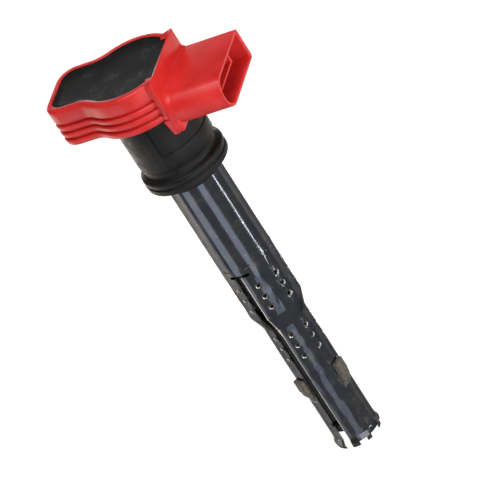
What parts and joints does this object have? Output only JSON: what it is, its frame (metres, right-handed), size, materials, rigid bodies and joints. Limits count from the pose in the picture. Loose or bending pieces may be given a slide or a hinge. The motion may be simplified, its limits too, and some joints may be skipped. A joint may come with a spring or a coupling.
{
  "type": "pencil ignition coil",
  "caption": "Plug-top ignition coil: ribbed red head with a four-way socket, rubber well seal, rolled steel tube round the windings, and a sprung plug contact in a boot.",
  "frame": {"origin": "on the coil's axis, in the plane where the underside of the rubber seal sits on the rim of the plug well", "axes": "+Z along the axis out of the well, towards the head; +X towards the mouth of the electrical socket; +Y completes the right-handed set"},
  "size_m": [0.0677, 0.04, 0.1771],
  "materials": {
    "red_plastic": "satin moulded red PBT",
    "black_resin": "smooth cast epoxy",
    "rubber": "matt black silicone",
    "dark_steel": "rolled sheet with a black oiled finish",
    "black_plastic": "black PBT",
    "cream_plastic": "natural moulded plastic",
    "copper_wire": "enamelled copper wire",
    "tinned_metal": "tinned bronze strip",
    "brass": "machined",
    "core_steel": "stacked electrical steel",
    "magnet": "sintered and coated",
    "spring_steel": "stainless wire",
    "aluminium": "stamped",
    "ceramic": "fired white ceramic board",
    "chip_plastic": "moulded package",
    "chip_capacitor": "fired ceramic",
    "wound_body": "coated resistor body"
  },
  "bodies": {
    "coil": {"head_housing": "red_plastic", "connector_body": "red_plastic", "terminal_pin_1": "tinned_metal", "terminal_pin_2": "tinned_metal", "terminal_pin_3": "tinned_metal", "terminal_pin_4": "tinned_metal", "potting": "black_resin", "heat_spreader": "aluminium", "driver_board": "ceramic", "power_transistor": "chip_plastic", "control_chip": "chip_plastic", "capacitor_1": "chip_capacitor", "capacitor_2": "chip_capacitor", "capacitor_3": "chip_capacitor", "well_seal": "rubber", "outer_shield": "dark_steel", "inner_shield": "dark_steel", "coil_case": "black_plastic", "primary_bobbin": "cream_plastic", "primary_winding": "copper_wire", "primary_lead_1": "copper_wire", "primary_lead_2": "copper_wire", "secondary_bobbin": "cream_plastic", "secondary_winding": "copper_wire", "iron_core": "core_steel", "core_sleeve": "black_plastic", "upper_magnet": "magnet", "lower_magnet": "magnet", "upper_buffer": "rubber", "lower_buffer": "rubber", "hv_terminal": "brass", "suppressor_resistor": "wound_body", "contact_spring": "spring_steel", "plug_boot": "rubber"},
    "contact": {"contact_cup": "brass"}
  },
  "joints": [
    {"name": "contact_plunge", "type": "slide", "parent": "coil", "child": "contact", "axis": [0, 0, 1], "range_m": [0, 0.005], "stiffness_N_per_m": 800, "springref_m": -0.004, "deforming": ["contact_spring"]}
  ]
}
